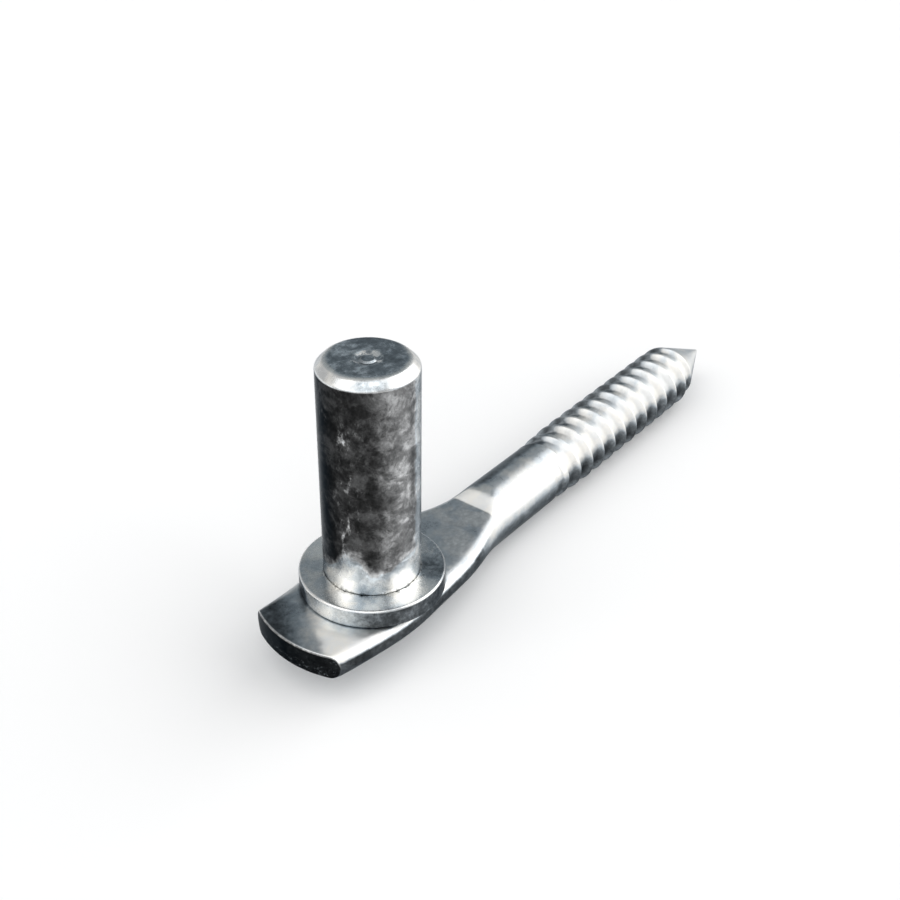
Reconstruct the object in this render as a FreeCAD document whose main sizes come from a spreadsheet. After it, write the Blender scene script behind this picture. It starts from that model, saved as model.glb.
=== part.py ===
"""Gate hinge pin: a forged and threaded arm that carries a collar ring and a riveted pin.

The pin stands along +Z on its own axis, and the origin lies on that axis at the collar's top
face, where the hinge eye of a gate rests. The screw runs along +X. Sizes are in millimetres.
"""
import FreeCAD, Part
import Sketcher
import os

SIZES = [
    # The pin above the collar
    ("PinDiameter", 16.0),
    ("PinHeight", 38.5),
    ("PinChamfer", 1.3),
    ("CentreMarkDiameter", 2.6),
    ("CentreMarkDepth", 0.45),
    ("PinSeatStep", 0.5),
    # The tenon that holds the pin in the eye, and its riveted head below
    ("TenonShoulder", 2.5),
    ("TenonClearance", 0.05),
    ("RivetHeadLip", 2.0),
    ("RivetHeadHeight", 2.2),
    ("RivetHeadChamfer", 1.2),
    # The collar ring round the foot of the pin
    ("CollarLedge", 4.05),
    ("CollarThickness", 3.35),
    ("CollarEdgeEase", 0.45),
    ("CollarClearance", 0.05),
    # The eye, flattened from the bar, with bulged sides and an end struck round the pin's axis
    ("EyeThickness", 4.5),
    ("EyeLift", 2.0),
    ("EyeSideBulge", 1.85),
    ("EyeEndRadius", 19.6),
    ("EyeEndEase", 0.35),
    # Stations of the forging along the bar: place, width, and how far it lies to the far side
    ("EyeEndWidth", 16.7),
    ("EyeEndShift", 1.55),
    ("EyeCornerInset", 1.8),
    ("EyeCornerWidth", 18.7),
    ("EyeCornerShift", 0.95),
    ("EyeBackInset", 8.6),
    ("EyeBackWidth", 20.6),
    ("EyeBackShift", 0.2),
    ("EyeX", -3.0),
    ("EyeWidth", 21.7),
    ("EyeShift", -0.25),
    ("EyeRootX", 6.5),
    ("EyeRootWidth", 20.8),
    ("EyeRootShift", -0.2),
    ("ShoulderX", 16.5),
    ("ShoulderWidth", 18.5),
    ("ShoulderShift", -0.2),
    ("ShoulderThickness", 8.7),
    ("ShoulderLift", 1.73),
    ("NeckX", 25.5),
    ("NeckWidth", 12.9),
    ("NeckShift", -0.5),
    ("NeckThickness", 10.4),
    ("NeckLift", 0.85),
    ("BarStartX", 31.5),
    ("BarLead", 3.5),
    # The dies' ramps, above and below, where the flattened part meets the round bar
    ("TopRampX", 27.3),
    ("TopRampRun", 3.9),
    ("UnderRampX", 21.5),
    ("UnderRampRun", 10.5),
    # The bar and its rolled wood thread, which rises out of the bar and fades out on the point
    ("BarDiameter", 11.7),
    ("ThreadX", 48.4),
    ("ThreadLead", 9.5),
    ("ThreadRise", 0.55),
    ("ThreadDepth", 1.15),
    ("ThreadPitch", 4.18),
    ("ThreadCrest", 0.4),
    ("ThreadRootFlat", 1.9),
    ("FirstGrooveX", 51.45),
    ("RunInTurns", 1.0),
    ("RunInClearance", 0.12),
    ("TipX", 98.5),
    ("TipLength", 14.3),
    ("TipBlunt", 0.25),
]

# Lengths that several sketches share, worked out from the sizes above
DERIVED = [
    ("TenonDiameter", "=PinDiameter - 2 * TenonShoulder"),
    ("RivetHeadDiameter", "=TenonDiameter + 2 * RivetHeadLip"),
    ("CollarDiameter", "=PinDiameter + 2 * CollarLedge"),
    ("EyeBlankThickness", "=EyeThickness + 2 * EyeSideBulge"),
    ("EyeCornerX", "=EyeCornerInset - EyeEndRadius"),
    ("EyeBackX", "=EyeBackInset - EyeEndRadius"),
    ("AxisDepth", "=CollarThickness + EyeThickness / 2 + EyeLift"),
    ("PlateTop", "=AxisDepth - CollarThickness"),
    ("PlateUnder", "=AxisDepth - CollarThickness - EyeThickness"),
    ("CrestRadius", "=BarDiameter / 2 + ThreadRise"),
    ("GrooveHalf", "=(ThreadPitch - ThreadCrest) / 2"),
    ("FadeOutX", "=TipX + TipLength * ThreadDepth / (CrestRadius - TipBlunt) + GrooveHalf"),
    ("GrooveTurns", "=(FadeOutX - FirstGrooveX) / ThreadPitch"),
]

CLEAR = 2.0    # how far a cutting outline reaches past the metal
HAIR = 0.001   # differences smaller than this count as none


def sheet_of_sizes(doc):
    """Put every size and every shared length into one sheet, under its own name."""
    sheet = doc.addObject("Spreadsheet::Sheet", "Sizes")
    row = 1
    for name, value in SIZES + DERIVED:
        sheet.set("A%d" % row, name)
        sheet.set("B%d" % row, str(value))
        sheet.setAlias("B%d" % row, name)
        row += 1
    doc.recompute()
    return sheet


def sized(text):
    """Turn plain size names in a formula into references to the sheet."""
    names = [name for name, value in SIZES + DERIVED]
    words = []
    word = ""
    for letter in text + " ":
        if letter.isalnum():
            word += letter
            continue
        words.append("Sizes." + word if word in names else word)
        words.append(letter)
        word = ""
    return "".join(words).strip()


def sketch_on(body, name, role, across="0", up="0", away="0"):
    """Make a sketch on one of the body's own planes, moved by formulas in the sheet's names."""
    sketch = body.newObject("Sketcher::SketchObject", name)
    plane = [part for part in body.Origin.OriginFeatures if part.Role == role][0]
    sketch.AttachmentSupport = [(plane, "")]
    sketch.MapMode = "FlatFace"
    sketch.setExpression(".AttachmentOffset.Base.x", "(%s) * 1 mm" % sized(across))
    sketch.setExpression(".AttachmentOffset.Base.y", "(%s) * 1 mm" % sized(up))
    sketch.setExpression(".AttachmentOffset.Base.z", "(%s) * 1 mm" % sized(away))
    return sketch


def value_of(sketch, formula):
    """Work out a formula in the sheet's names."""
    return float(sketch.evalExpression(sized(formula)))


def bind(sketch, constraint, formula, name):
    """Add a constraint whose value follows a formula in the sheet's names."""
    number = sketch.addConstraint(constraint)
    sketch.renameConstraint(number, name)
    sketch.setExpression("Constraints." + name, sized(formula))


def place_point(sketch, edge, end, spot, name):
    """Hold one end of an edge at a spot given as two formulas."""
    across, up = spot
    bind(sketch, Sketcher.Constraint("DistanceX", edge, end, value_of(sketch, across)),
         across, name + "Across")
    bind(sketch, Sketcher.Constraint("DistanceY", edge, end, value_of(sketch, up)),
         up, name + "Up")


def outline(sketch, corners, arcs=None):
    """Draw a closed outline through the corners.

    arcs maps an edge's number to its radius: that edge bulges to the right of the way from its
    first corner to its second.
    """
    arcs = arcs or {}
    spots = [FreeCAD.Vector(value_of(sketch, x), value_of(sketch, y), 0) for x, y in corners]
    count = len(corners)
    for edge in range(count):
        first = spots[edge]
        last = spots[(edge + 1) % count]
        if edge in arcs:
            radius = value_of(sketch, arcs[edge])
            chord = last - first
            right = FreeCAD.Vector(chord.y, -chord.x, 0).normalize()
            rise = radius - (radius ** 2 - chord.Length ** 2 / 4) ** 0.5
            sketch.addGeometry(Part.Arc(first, (first + last) / 2 + right * rise, last), False)
        else:
            sketch.addGeometry(Part.LineSegment(first, last), False)
    for edge in range(count):
        sketch.addConstraint(Sketcher.Constraint("Coincident", edge, 2, (edge + 1) % count, 1))
        place_point(sketch, edge, 1, corners[edge], "Corner%d" % edge)
    for edge, formula in arcs.items():
        bind(sketch, Sketcher.Constraint("Radius", edge, value_of(sketch, formula)),
             formula, "Bend%d" % edge)


def turned(body, name, corners, up="0"):
    """Turn an outline in the XZ plane round the pin's axis or, moved up, round its own X axis."""
    sketch = sketch_on(body, name + "Outline", "XZ_Plane", up=up)
    outline(sketch, corners)
    turn = body.newObject("PartDesign::Revolution", name)
    turn.Profile = sketch
    turn.ReferenceAxis = (sketch, ["H_Axis" if up != "0" else "V_Axis"])
    turn.Angle = 360.0
    return turn


def cut_through(body, name, sketch):
    """Cut an outline out of the body, through all of it and on both sides of the sketch."""
    body.Document.recompute()
    before = body.Shape.Volume
    cut = body.newObject("PartDesign::Pocket", name)
    cut.Profile = sketch
    cut.Type = "ThroughAll"
    cut.Midplane = True
    body.Document.recompute()
    if cut.Shape.Volume >= before - HAIR:
        raise RuntimeError(name + " cuts nothing")
    return cut


def circle(sketch, formula):
    """Draw a circle round the sketch's own origin, its radius given by a formula."""
    radius = value_of(sketch, formula)
    sketch.addGeometry(Part.Circle(FreeCAD.Vector(0, 0, 0), FreeCAD.Vector(0, 0, 1), radius), False)
    sketch.addConstraint(Sketcher.Constraint("Coincident", 0, 3, -1, 1))
    bind(sketch, Sketcher.Constraint("Radius", 0, radius), formula, "Rim")


def oval(body, name, station, width, thickness, shift, lift):
    """Draw one oval section of the forging, square to the bar, at its station along +X."""
    sketch = sketch_on(body, name, "YZ_Plane", up="-AxisDepth", away=station)
    half_width = value_of(sketch, width) / 2
    half_thickness = value_of(sketch, thickness) / 2
    centre = FreeCAD.Vector(value_of(sketch, shift), value_of(sketch, lift), 0)
    side = centre + FreeCAD.Vector(half_width, 0, 0)
    top = centre + FreeCAD.Vector(0, half_thickness, 0)
    sketch.addGeometry(Part.Ellipse(side, top, centre), False)
    sketch.exposeInternalGeometry(0)
    place_point(sketch, 0, 3, (shift, lift), "Centre")
    sketch.addConstraint(Sketcher.Constraint("Horizontal", 1))
    bind(sketch, Sketcher.Constraint("Distance", 1, 2 * half_width), width, "Width")
    bind(sketch, Sketcher.Constraint("Distance", 2, 2 * half_thickness), thickness, "Thickness")
    return sketch


def round_section(body, name, station):
    """Draw the bar's round section at a station along +X."""
    sketch = sketch_on(body, name, "YZ_Plane", up="-AxisDepth", away=station)
    circle(sketch, "BarDiameter / 2")
    return sketch


def groove(body, name, turns, backwards=False, rise="0"):
    """Cut the thread's groove from its first full section, on to the tip or back to run in."""
    sketch = sketch_on(body, name + "Section", "XZ_Plane", up="-AxisDepth")
    rim = "CrestRadius + %s" % CLEAR
    root = "CrestRadius - ThreadDepth"
    outline(sketch, [
        ("FirstGrooveX - GrooveHalf", "CrestRadius"),
        ("FirstGrooveX - ThreadRootFlat / 2", root),
        ("FirstGrooveX + ThreadRootFlat / 2", root),
        ("FirstGrooveX + GrooveHalf", "CrestRadius"),
        ("FirstGrooveX + GrooveHalf", rim),
        ("FirstGrooveX - GrooveHalf", rim),
    ])
    body.Document.recompute()
    cut = body.newObject("PartDesign::SubtractiveHelix", name)
    cut.Profile = sketch
    cut.ReferenceAxis = (sketch, ["H_Axis"])
    cut.Mode = "height-turns-growth"
    cut.setExpression("Height", "(%s) * 1 mm" % sized("(%s) * ThreadPitch" % turns))
    cut.setExpression("Turns", sized(turns))
    cut.setExpression("Growth", "(%s) * 1 mm" % sized(rise))
    cut.Reversed = backwards
    return cut


def ease_edges(body, name, size, chosen):
    """Chamfer the body's circular edges that a test picks out."""
    body.Document.recompute()
    base = body.Tip
    names = []
    for number, edge in enumerate(base.Shape.Edges, 1):
        if edge.Degenerated:
            continue
        if isinstance(edge.Curve, Part.Circle) and chosen(edge.Curve):
            names.append("Edge%d" % number)
    if not names:
        raise RuntimeError(name + " finds no edge")
    chamfer = body.newObject("PartDesign::Chamfer", name)
    chamfer.Base = (base, names)
    chamfer.setExpression("Size", "(%s) * 1 mm" % sized(size))
    return chamfer


def forged_neck(body):
    """Flow the round bar out to the flattened eye through oval sections, then press it flat."""
    end = oval(body, "EyeEndSection", "-EyeEndRadius - %s" % CLEAR,
               "EyeEndWidth", "EyeBlankThickness", "EyeEndShift", "EyeLift")
    sections = [
        oval(body, "EyeCornerSection", "EyeCornerX",
             "EyeCornerWidth", "EyeBlankThickness", "EyeCornerShift", "EyeLift"),
        oval(body, "EyeBackSection", "EyeBackX",
             "EyeBackWidth", "EyeBlankThickness", "EyeBackShift", "EyeLift"),
        oval(body, "EyeSection", "EyeX", "EyeWidth", "EyeBlankThickness", "EyeShift", "EyeLift"),
        oval(body, "EyeRootSection", "EyeRootX",
             "EyeRootWidth", "EyeBlankThickness", "EyeRootShift", "EyeLift"),
        oval(body, "ShoulderSection", "ShoulderX",
             "ShoulderWidth", "ShoulderThickness", "ShoulderShift", "ShoulderLift"),
        oval(body, "NeckSection", "NeckX",
             "NeckWidth", "NeckThickness", "NeckShift", "NeckLift"),
        round_section(body, "BarStartSection", "BarStartX"),
        round_section(body, "BarSection", "BarStartX + BarLead"),
    ]
    body.Document.recompute()
    loft = body.newObject("PartDesign::AdditiveLoft", "ForgedBlank")
    loft.Profile = end
    loft.Sections = sections
    loft.Ruled = False
    body.Document.recompute()

    back = "-EyeEndRadius - 2 * %s" % CLEAR
    top_die = sketch_on(body, "TopDie", "XZ_Plane", up="-AxisDepth")
    outline(top_die, [
        (back, "PlateTop"),
        ("TopRampX", "PlateTop"),
        ("TopRampX + TopRampRun", "BarDiameter / 2"),
        ("TopRampX + TopRampRun", "BarDiameter"),
        (back, "BarDiameter"),
    ])
    cut_through(body, "TopPressing", top_die)

    under_die = sketch_on(body, "UnderDie", "XZ_Plane", up="-AxisDepth")
    outline(under_die, [
        (back, "PlateUnder"),
        (back, "-BarDiameter"),
        ("UnderRampX + UnderRampRun", "-BarDiameter"),
        ("UnderRampX + UnderRampRun", "-BarDiameter / 2"),
        ("UnderRampX", "PlateUnder"),
    ])
    cut_through(body, "UnderPressing", under_die)


def eye_end(body):
    """Strike the eye's free end to an arc round the pin's axis, and ease its edges."""
    reach = "EyeWidth / 2 + %s" % CLEAR
    back = "-EyeEndRadius - 2 * %s" % CLEAR
    chord_x = "-sqrt(EyeEndRadius ^ 2 - (%s) ^ 2)" % reach
    trim = sketch_on(body, "EndTrim", "XY_Plane")
    outline(trim, [
        (chord_x, reach),
        (chord_x, "-(%s)" % reach),
        (back, "-(%s)" % reach),
        (back, reach),
    ], {0: "EyeEndRadius"})
    cut_through(body, "EndTrimming", trim)
    radius = value_of(trim, "EyeEndRadius")
    ease_edges(body, "EndEasing", "EyeEndEase",
               lambda circle: abs(circle.Radius - radius) < HAIR)


def threaded_arm(doc):
    """Make the forged arm: flattened eye, neck, round bar, rolled wood thread and point."""
    body = doc.addObject("PartDesign::Body", "ThreadedArm")
    body.Label = "threaded_arm"
    turned(body, "BarTurn", [
        ("BarStartX + BarLead", "0"),
        ("TipX + TipLength", "0"),
        ("TipX + TipLength", "TipBlunt"),
        ("TipX", "CrestRadius"),
        ("ThreadX + ThreadLead", "CrestRadius"),
        ("ThreadX", "BarDiameter / 2"),
        ("BarStartX + BarLead", "BarDiameter / 2"),
    ], up="-AxisDepth")
    doc.recompute()
    groove(body, "ThreadGroove", "GrooveTurns")
    groove(body, "ThreadRunIn", "RunInTurns", backwards=True,
           rise="(ThreadDepth + RunInClearance) / RunInTurns")
    forged_neck(body)
    eye_end(body)

    bore = sketch_on(body, "RivetBore", "XY_Plane")
    circle(bore, "TenonDiameter / 2 + TenonClearance")
    cut_through(body, "RivetHole", bore)
    return body


def collar_ring(doc):
    """Make the collar: a turned ring with eased rims, round the foot of the pin."""
    body = doc.addObject("PartDesign::Body", "CollarRing")
    body.Label = "collar_ring"
    bore = "PinDiameter / 2 - PinSeatStep + CollarClearance"
    rim = "CollarDiameter / 2"
    under = "-CollarThickness"
    turned(body, "CollarTurn", [
        ("PinDiameter / 2 + CollarClearance", "0"),
        (bore, "-PinSeatStep"),
        (bore, under),
        (rim, under),
        (rim, "-CollarEdgeEase"),
        (rim + " - CollarEdgeEase", "0"),
    ])
    return body


def hinge_pin(doc):
    """Make the pin: chamfered top with a centre mark, collar seat, tenon and riveted head."""
    body = doc.addObject("PartDesign::Body", "HingePin")
    body.Label = "hinge_pin"
    foot = "-CollarThickness"
    under = "-CollarThickness - EyeThickness"
    turned(body, "PinTurn", [
        ("0", "PinHeight - CentreMarkDepth"),
        ("0", under + " - RivetHeadHeight"),
        ("RivetHeadDiameter / 2 - RivetHeadChamfer", under + " - RivetHeadHeight"),
        ("RivetHeadDiameter / 2", under + " - RivetHeadHeight + RivetHeadChamfer"),
        ("RivetHeadDiameter / 2", under),
        ("TenonDiameter / 2", under),
        ("TenonDiameter / 2", foot),
        ("PinDiameter / 2 - PinSeatStep", foot),
        ("PinDiameter / 2 - PinSeatStep", "-PinSeatStep"),
        ("PinDiameter / 2", "0"),
        ("PinDiameter / 2", "PinHeight - PinChamfer"),
        ("PinDiameter / 2 - PinChamfer", "PinHeight"),
        ("CentreMarkDiameter / 2", "PinHeight"),
    ])
    return body


def main():
    """Build the document, check every object in it and write each piece to its own file."""
    doc = FreeCAD.newDocument("GateHingePin")
    sheet_of_sizes(doc)
    pieces = [threaded_arm(doc), collar_ring(doc), hinge_pin(doc)]
    doc.recompute()
    for item in doc.Objects:
        if "Invalid" in item.State or "Error" in item.State:
            raise RuntimeError("%s failed: %s" % (item.Name, item.State))
    os.makedirs("parts", exist_ok=True)
    for piece in pieces:
        if piece.Shape.isNull() or not piece.Shape.isValid():
            raise RuntimeError("%s has no valid shape" % piece.Label)
        print("%s: %.1f mm3, %d faces" % (piece.Label, piece.Shape.Volume, len(piece.Shape.Faces)))
        piece.Shape.exportStep("parts/%s.step" % piece.Label)


main()
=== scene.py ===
import math

import bmesh
import bpy
from bpy.props import FloatProperty, FloatVectorProperty, IntProperty, PointerProperty
from mathutils import Euler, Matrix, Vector, noise


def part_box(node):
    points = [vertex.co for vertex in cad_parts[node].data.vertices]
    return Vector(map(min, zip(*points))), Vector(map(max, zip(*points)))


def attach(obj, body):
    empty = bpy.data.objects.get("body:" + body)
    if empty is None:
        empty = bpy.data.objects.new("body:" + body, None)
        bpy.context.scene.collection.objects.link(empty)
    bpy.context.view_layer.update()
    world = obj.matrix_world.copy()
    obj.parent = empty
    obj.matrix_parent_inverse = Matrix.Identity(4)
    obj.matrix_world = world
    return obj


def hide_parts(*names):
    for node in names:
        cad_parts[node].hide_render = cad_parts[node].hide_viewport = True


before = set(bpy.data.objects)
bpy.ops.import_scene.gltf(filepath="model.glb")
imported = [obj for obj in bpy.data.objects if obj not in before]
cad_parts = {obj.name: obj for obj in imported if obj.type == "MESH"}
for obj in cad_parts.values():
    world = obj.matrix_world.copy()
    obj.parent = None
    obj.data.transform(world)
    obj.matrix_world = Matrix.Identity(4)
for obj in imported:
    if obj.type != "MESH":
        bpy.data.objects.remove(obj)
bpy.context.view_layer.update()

bl_info = {
    "name": "Gate Hinge Pin",
    "version": (1, 0, 0),
    "blender": (4, 5, 0),
    "location": "View3D > Sidebar > Hinge Pin",
    "description": "Builds a zinc-plated screw-in gate hinge pin with its collar and wood thread",
    "category": "Object",
}

MM = 0.001
PIN_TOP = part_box("hinge_pin")[1][2]
PIN_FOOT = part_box("hinge_pin")[0][2]
COLLAR_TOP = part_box("collar_ring")[1][2]
COLLAR_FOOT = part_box("collar_ring")[0][2]
COLLAR_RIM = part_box("collar_ring")[1][0]
ARM_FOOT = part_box("threaded_arm")[0][2]
ARM_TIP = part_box("threaded_arm")[1][0]

# In mm: gap left where pieces touch, where the arched end's rings meet the square ones, where the
# neck has become the round bar, and the flat left on the point.
CONTACT = 0.012
EYE_JOIN = -6.0
BAR_START = 35.0
POINT_RADIUS = 0.25

# In mm: roundings at the feet of the top and under ramps and at the cone's shoulder, and where
# the rubbed, highlighted edges of the plate have faded out, after a fade of the second length.
TOP_SOFT, UNDER_SOFT, TIP_SOFT = 0.5, 0.8, 0.3
EDGE_END, EDGE_FADE = 31.0, 6.0

# Bites out of the collar's seat, in mm: their depth, and their reach down and out from its edge.
BITE_DEPTH, BITE_DROP, BITE_REACH = 0.3, 0.6, 0.5

# Depth over the crests, in metres, at which a groove starts to run in.
GROOVE_CLEAR = 0.12 * MM

# Rings along the arm, in mm: where a run of them starts, where it ends, and their spacing.
RING_RUNS = (
    (EYE_JOIN, BAR_START, 0.45), (BAR_START, 48.4, 0.60), (48.4, 104.0, 0.155),
    (104.0, ARM_TIP / MM - 0.06, 0.30),
)

# Shares of the way from the middle of the eye's end face to its rim, and leans of the rounded rim.
END_SHARES = (0.12, 0.28, 0.44, 0.6, 0.74, 0.86, 0.94)
END_LEANS = (90.0, 70.0, 50.0, 30.0, 12.0, 0.0)

# The camera, in metres, degrees and mm, and the direction of the darker part of the surroundings.
CAMERA_PLACE = (-0.123908, -0.108428, 0.128462)
CAMERA_TURN = (57.17488, -0.85790, -52.57079)
CAMERA_LENS = 50.72
SHADE_DIRECTION = (0.593, 0.519, 0.615)

# Half the floor's side in metres, its gap under the part in mm, and the lamps' size in degrees.
FLOOR_HALF = 5.0
FLOOR_GAP = 0.02
LAMP_ANGLE = 80.0

# Outline of the forged blank seen from above, in mm: place along the arm, width, sideways shift.
BLANK_WIDTHS = (
    (-21.6, 16.70, 1.550),
    (-17.8, 18.70, 0.950),
    (-16.0, 19.31, 0.715),
    (-11.0, 20.60, 0.200),
    (-4.0, 21.65, -0.215),
    (0.0, 21.61, -0.305),
    (5.0, 20.96, -0.250),
    (10.5, 20.54, -0.040),
    (15.0, 19.26, -0.110),
    (19.0, 16.93, -0.365),
    (22.0, 14.89, -0.525),
    (25.5, 12.90, -0.500),
    (28.0, 12.05, -0.325),
    (31.5, 11.70, 0.000),
    (35.0, 11.70, 0.000),
)

# The blank seen from the side, in mm: place along the arm, thickness, lift over the bar's axis.
BLANK_DEPTHS = (
    (-21.6, 12.6, 2.00),
    (-16.0, 10.2, 2.00),
    (-11.0, 8.5, 2.00),
    (-6.0, 8.2, 2.00),
    (6.5, 8.2, 2.00),
    (16.5, 8.7, 1.73),
    (25.5, 10.4, 0.85),
    (31.5, 11.7, 0.00),
    (35.0, 11.7, 0.00),
)

# Painted reflection and shade tones of the pin against the share of a turn from +X towards +Y: 1 is
# clean zinc.
PIN_WALL_PAINTED_LIGHT = (
    (0.000, 0.20), (0.120, 0.17), (0.280, 0.13), (0.403, 0.045), (0.435, 0.020), (0.480, 0.016),
    (0.550, 0.024), (0.620, 0.032), (0.650, 0.075), (0.690, 0.18), (0.730, 0.27), (0.765, 0.18),
    (0.800, 0.55), (0.860, 0.34), (1.000, 0.20),
)
PIN_FOOT_PAINTED_LIGHT = (
    (0.000, 0.75), (0.300, 0.55), (0.400, 0.50), (0.440, 0.85), (0.480, 1.00), (0.530, 0.86),
    (0.560, 0.68), (0.590, 0.52), (0.630, 0.62), (0.660, 0.86), (0.710, 1.00), (0.900, 0.90),
    (1.000, 0.75),
)

# Height of the pin's painted bright foot reflection over the collar against that share, in cm.
PIN_FOOT_LIGHT_REACH = (
    (0.000, 0.50), (0.430, 0.48), (0.499, 0.74), (0.530, 0.92), (0.560, 0.94), (0.595, 0.74),
    (0.640, 0.52), (0.690, 0.60), (0.780, 0.72), (1.000, 0.50),
)

# Painted reflection and shade tones of the collar's side and top against the same share.
COLLAR_SIDE_PAINTED_LIGHT = (
    (0.000, 0.22), (0.300, 0.30), (0.403, 0.06), (0.445, 0.80), (0.490, 1.00), (0.530, 0.60),
    (0.560, 0.46), (0.590, 0.24), (0.615, 0.095), (0.740, 0.10), (0.800, 0.06), (1.000, 0.20),
)
COLLAR_TOP_PAINTED_LIGHT = (
    (0.000, 0.60), (0.297, 0.95), (0.353, 0.68), (0.430, 0.72), (0.490, 0.84), (0.530, 0.96),
    (0.570, 0.66), (0.640, 0.62), (0.690, 0.90), (0.740, 1.00), (0.790, 0.80), (0.850, 0.25),
    (0.920, 0.58), (1.000, 0.60),
)

# Painted reflection and shade tones of the round bar against the share of a turn from +Y towards
# +Z.
BAR_PAINTED_LIGHT = (
    (0.000, 0.30), (0.125, 0.34), (0.155, 0.20), (0.180, 0.15), (0.222, 0.46), (0.264, 0.74),
    (0.306, 0.66), (0.347, 0.82), (0.430, 0.90), (0.455, 0.78), (0.475, 0.58), (0.514, 0.17),
    (0.556, 0.12), (0.600, 0.22), (0.700, 0.34), (0.850, 0.34), (1.000, 0.30),
)


def length(name, description, default, **more):
    """A property for a length, with its default in mm."""
    return FloatProperty(name=name, description=description, default=default * MM,
                         unit="LENGTH", subtype="DISTANCE", precision=5, **more)


def colour(name, description, default):
    """A property for a colour, in linear light."""
    return FloatVectorProperty(name=name, description=description, default=default,
                               size=3, min=0.0, max=1.0, subtype="COLOR")


class HingeArmSizes(bpy.types.PropertyGroup):
    """Sizes of the forged arm."""

    axis_height: length("Bar Axis", "Height of the bar's axis under the collar's top face", -7.6)
    bar_diameter: length("Bar Diameter", "Diameter of the round bar", 11.7)
    plate_rise: length("Plate Rise", "Flat top of the eye over the bar's axis", 4.25)
    plate_drop: length("Plate Drop", "Flat underside of the eye under the bar's axis", 0.25)
    top_ramp_start: length("Top Ramp Start", "Where the top starts to climb to the bar", 27.3)
    top_ramp_run: length("Top Ramp Run", "Length of the top ramp", 3.9)
    under_ramp_start: length("Under Ramp Start", "Where the underside starts to drop", 21.5)
    under_ramp_run: length("Under Ramp Run", "Length of the ramp on the underside", 10.5)
    end_radius: length("End Radius", "Radius of the eye's end round the pin", 19.6)
    edge_round: length("Edge Rounding", "Softness of the plate's long edges", 0.9)
    end_ease: length("End Ease", "Radius of the rim round the eye's end", 0.35)
    hole_diameter: length("Hole Diameter", "Hole for the pin's tenon", 11.1)
    around: IntProperty(name="Points Round", description="Points round the arm",
                        default=128, min=24, max=256)


class HingeThreadSizes(bpy.types.PropertyGroup):
    """Sizes of the rolled wood thread."""

    start: length("Thread Start", "Where the bar starts to swell", 48.4)
    lead: length("Swell Length", "Length over which the bar swells to the crests", 9.5)
    crest_diameter: length("Crest Diameter", "Diameter over the crests", 12.8)
    depth: length("Depth", "Depth of the groove", 1.15)
    pitch: length("Pitch", "Distance from crest to crest", 4.18)
    crest_width: length("Crest Width", "Flat left on each crest", 0.4)
    root_width: length("Root Width", "Flat at the bottom of the groove", 1.9)
    first_groove: length("First Groove", "Where the groove starts, on top of the bar", 51.45)
    run_in: FloatProperty(name="Run-in", description="Turns that the groove takes to full depth",
                          default=1.0, min=0.1, max=3.0)
    head_start: FloatProperty(name="Head Start", default=0.5, min=0.0, max=1.0,
                              description="Turns by which the groove is deep before it is whole")
    tip_start: length("Tip Start", "Where the cone starts", 98.5)
    tip_length: length("Tip Length", "Length of the conical tip", 14.3)
    unevenness: length("Unevenness", "How far the rolled crests vary", 0.07)


class HingeCollarSizes(bpy.types.PropertyGroup):
    """Sizes of the collar ring."""

    bore_diameter: length("Bore", "Diameter of the collar's bore", 15.1)
    seat_diameter: length("Seat", "Diameter of the coned seat at the top", 16.1)
    seat_depth: length("Seat Depth", "Depth of the coned seat", 0.5)
    edge_ease: length("Edge Ease", "Radius of the top outer edge", 0.45)
    around: IntProperty(name="Points Round", description="Points round the collar",
                        default=224, min=24, max=512)


class HingePinSizes(bpy.types.PropertyGroup):
    """Sizes of the upright pin."""

    diameter: length("Diameter", "Diameter of the pin", 16.0)
    chamfer: length("Chamfer", "Chamfer round the top", 1.3)
    mark_diameter: length("Mark Diameter", "Diameter of the centre mark", 2.6)
    mark_depth: length("Mark Depth", "Depth of the centre mark", 0.32)
    seat_step: length("Seat Step", "Step of the seat inside the collar", 0.5)
    tenon_diameter: length("Tenon", "Diameter of the tenon through the eye", 11.0)
    head_diameter: length("Head Diameter", "Diameter of the riveted head", 15.0)
    head_height: length("Head Height", "Height of the riveted head", 2.2)
    head_chamfer: length("Head Chamfer", "Chamfer round the riveted head", 1.2)
    around: IntProperty(name="Points Round", description="Points round the pin",
                        default=224, min=24, max=512)


class HingeFinish(bpy.types.PropertyGroup):
    """Colours of the zinc plating."""

    bright: colour("Bright Zinc", "Clean zinc", (0.97, 0.975, 0.965))
    dull: colour("Dull Zinc", "Zinc with a cool dull film", (0.84, 0.93, 1.0))
    warm: colour("Warm Zinc", "Clean zinc with a warm tone", (1.0, 0.985, 0.945))
    # Rubbed edges, with a painted highlight on those that look up.
    rubbed_edge_highlight: colour("Rubbed Edge", "Metal rubbed bright on edges", (0.93, 0.93, 0.92))


class HingeStudio(bpy.types.PropertyGroup):
    """Light and floor of the studio."""

    floor: colour("Floor", "Colour of the floor", (0.94, 0.94, 0.94))
    walls: colour("Walls", "Colour of the pale surroundings", (0.54, 0.54, 0.54))
    shade: colour("Shade", "Colour of the darker side, high behind the pin", (0.25, 0.28, 0.30))
    key: FloatProperty(name="Key", description="Strength of the key light", default=1.55, min=0.0)
    fill: FloatProperty(name="Fill", description="Strength of the fill light", default=1.35,
                        min=0.0)


def feed(tree, socket, value):
    """Link an output to the socket, or set the socket's own value."""
    if isinstance(value, bpy.types.NodeSocket):
        tree.links.new(value, socket)
    else:
        socket.default_value = value


def add_node(tree, kind, inputs=None, **settings):
    """A new node of the tree, with its settings, and its inputs by name or number."""
    node = tree.nodes.new(kind)
    for key, value in settings.items():
        setattr(node, key, value)
    for key, value in (inputs or {}).items():
        feed(tree, node.inputs[key], value)
    return node


def maths(tree, operation, *values):
    """One step of arithmetic in a node tree."""
    return add_node(tree, "ShaderNodeMath", dict(enumerate(values)),
                    operation=operation).outputs[0]


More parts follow.
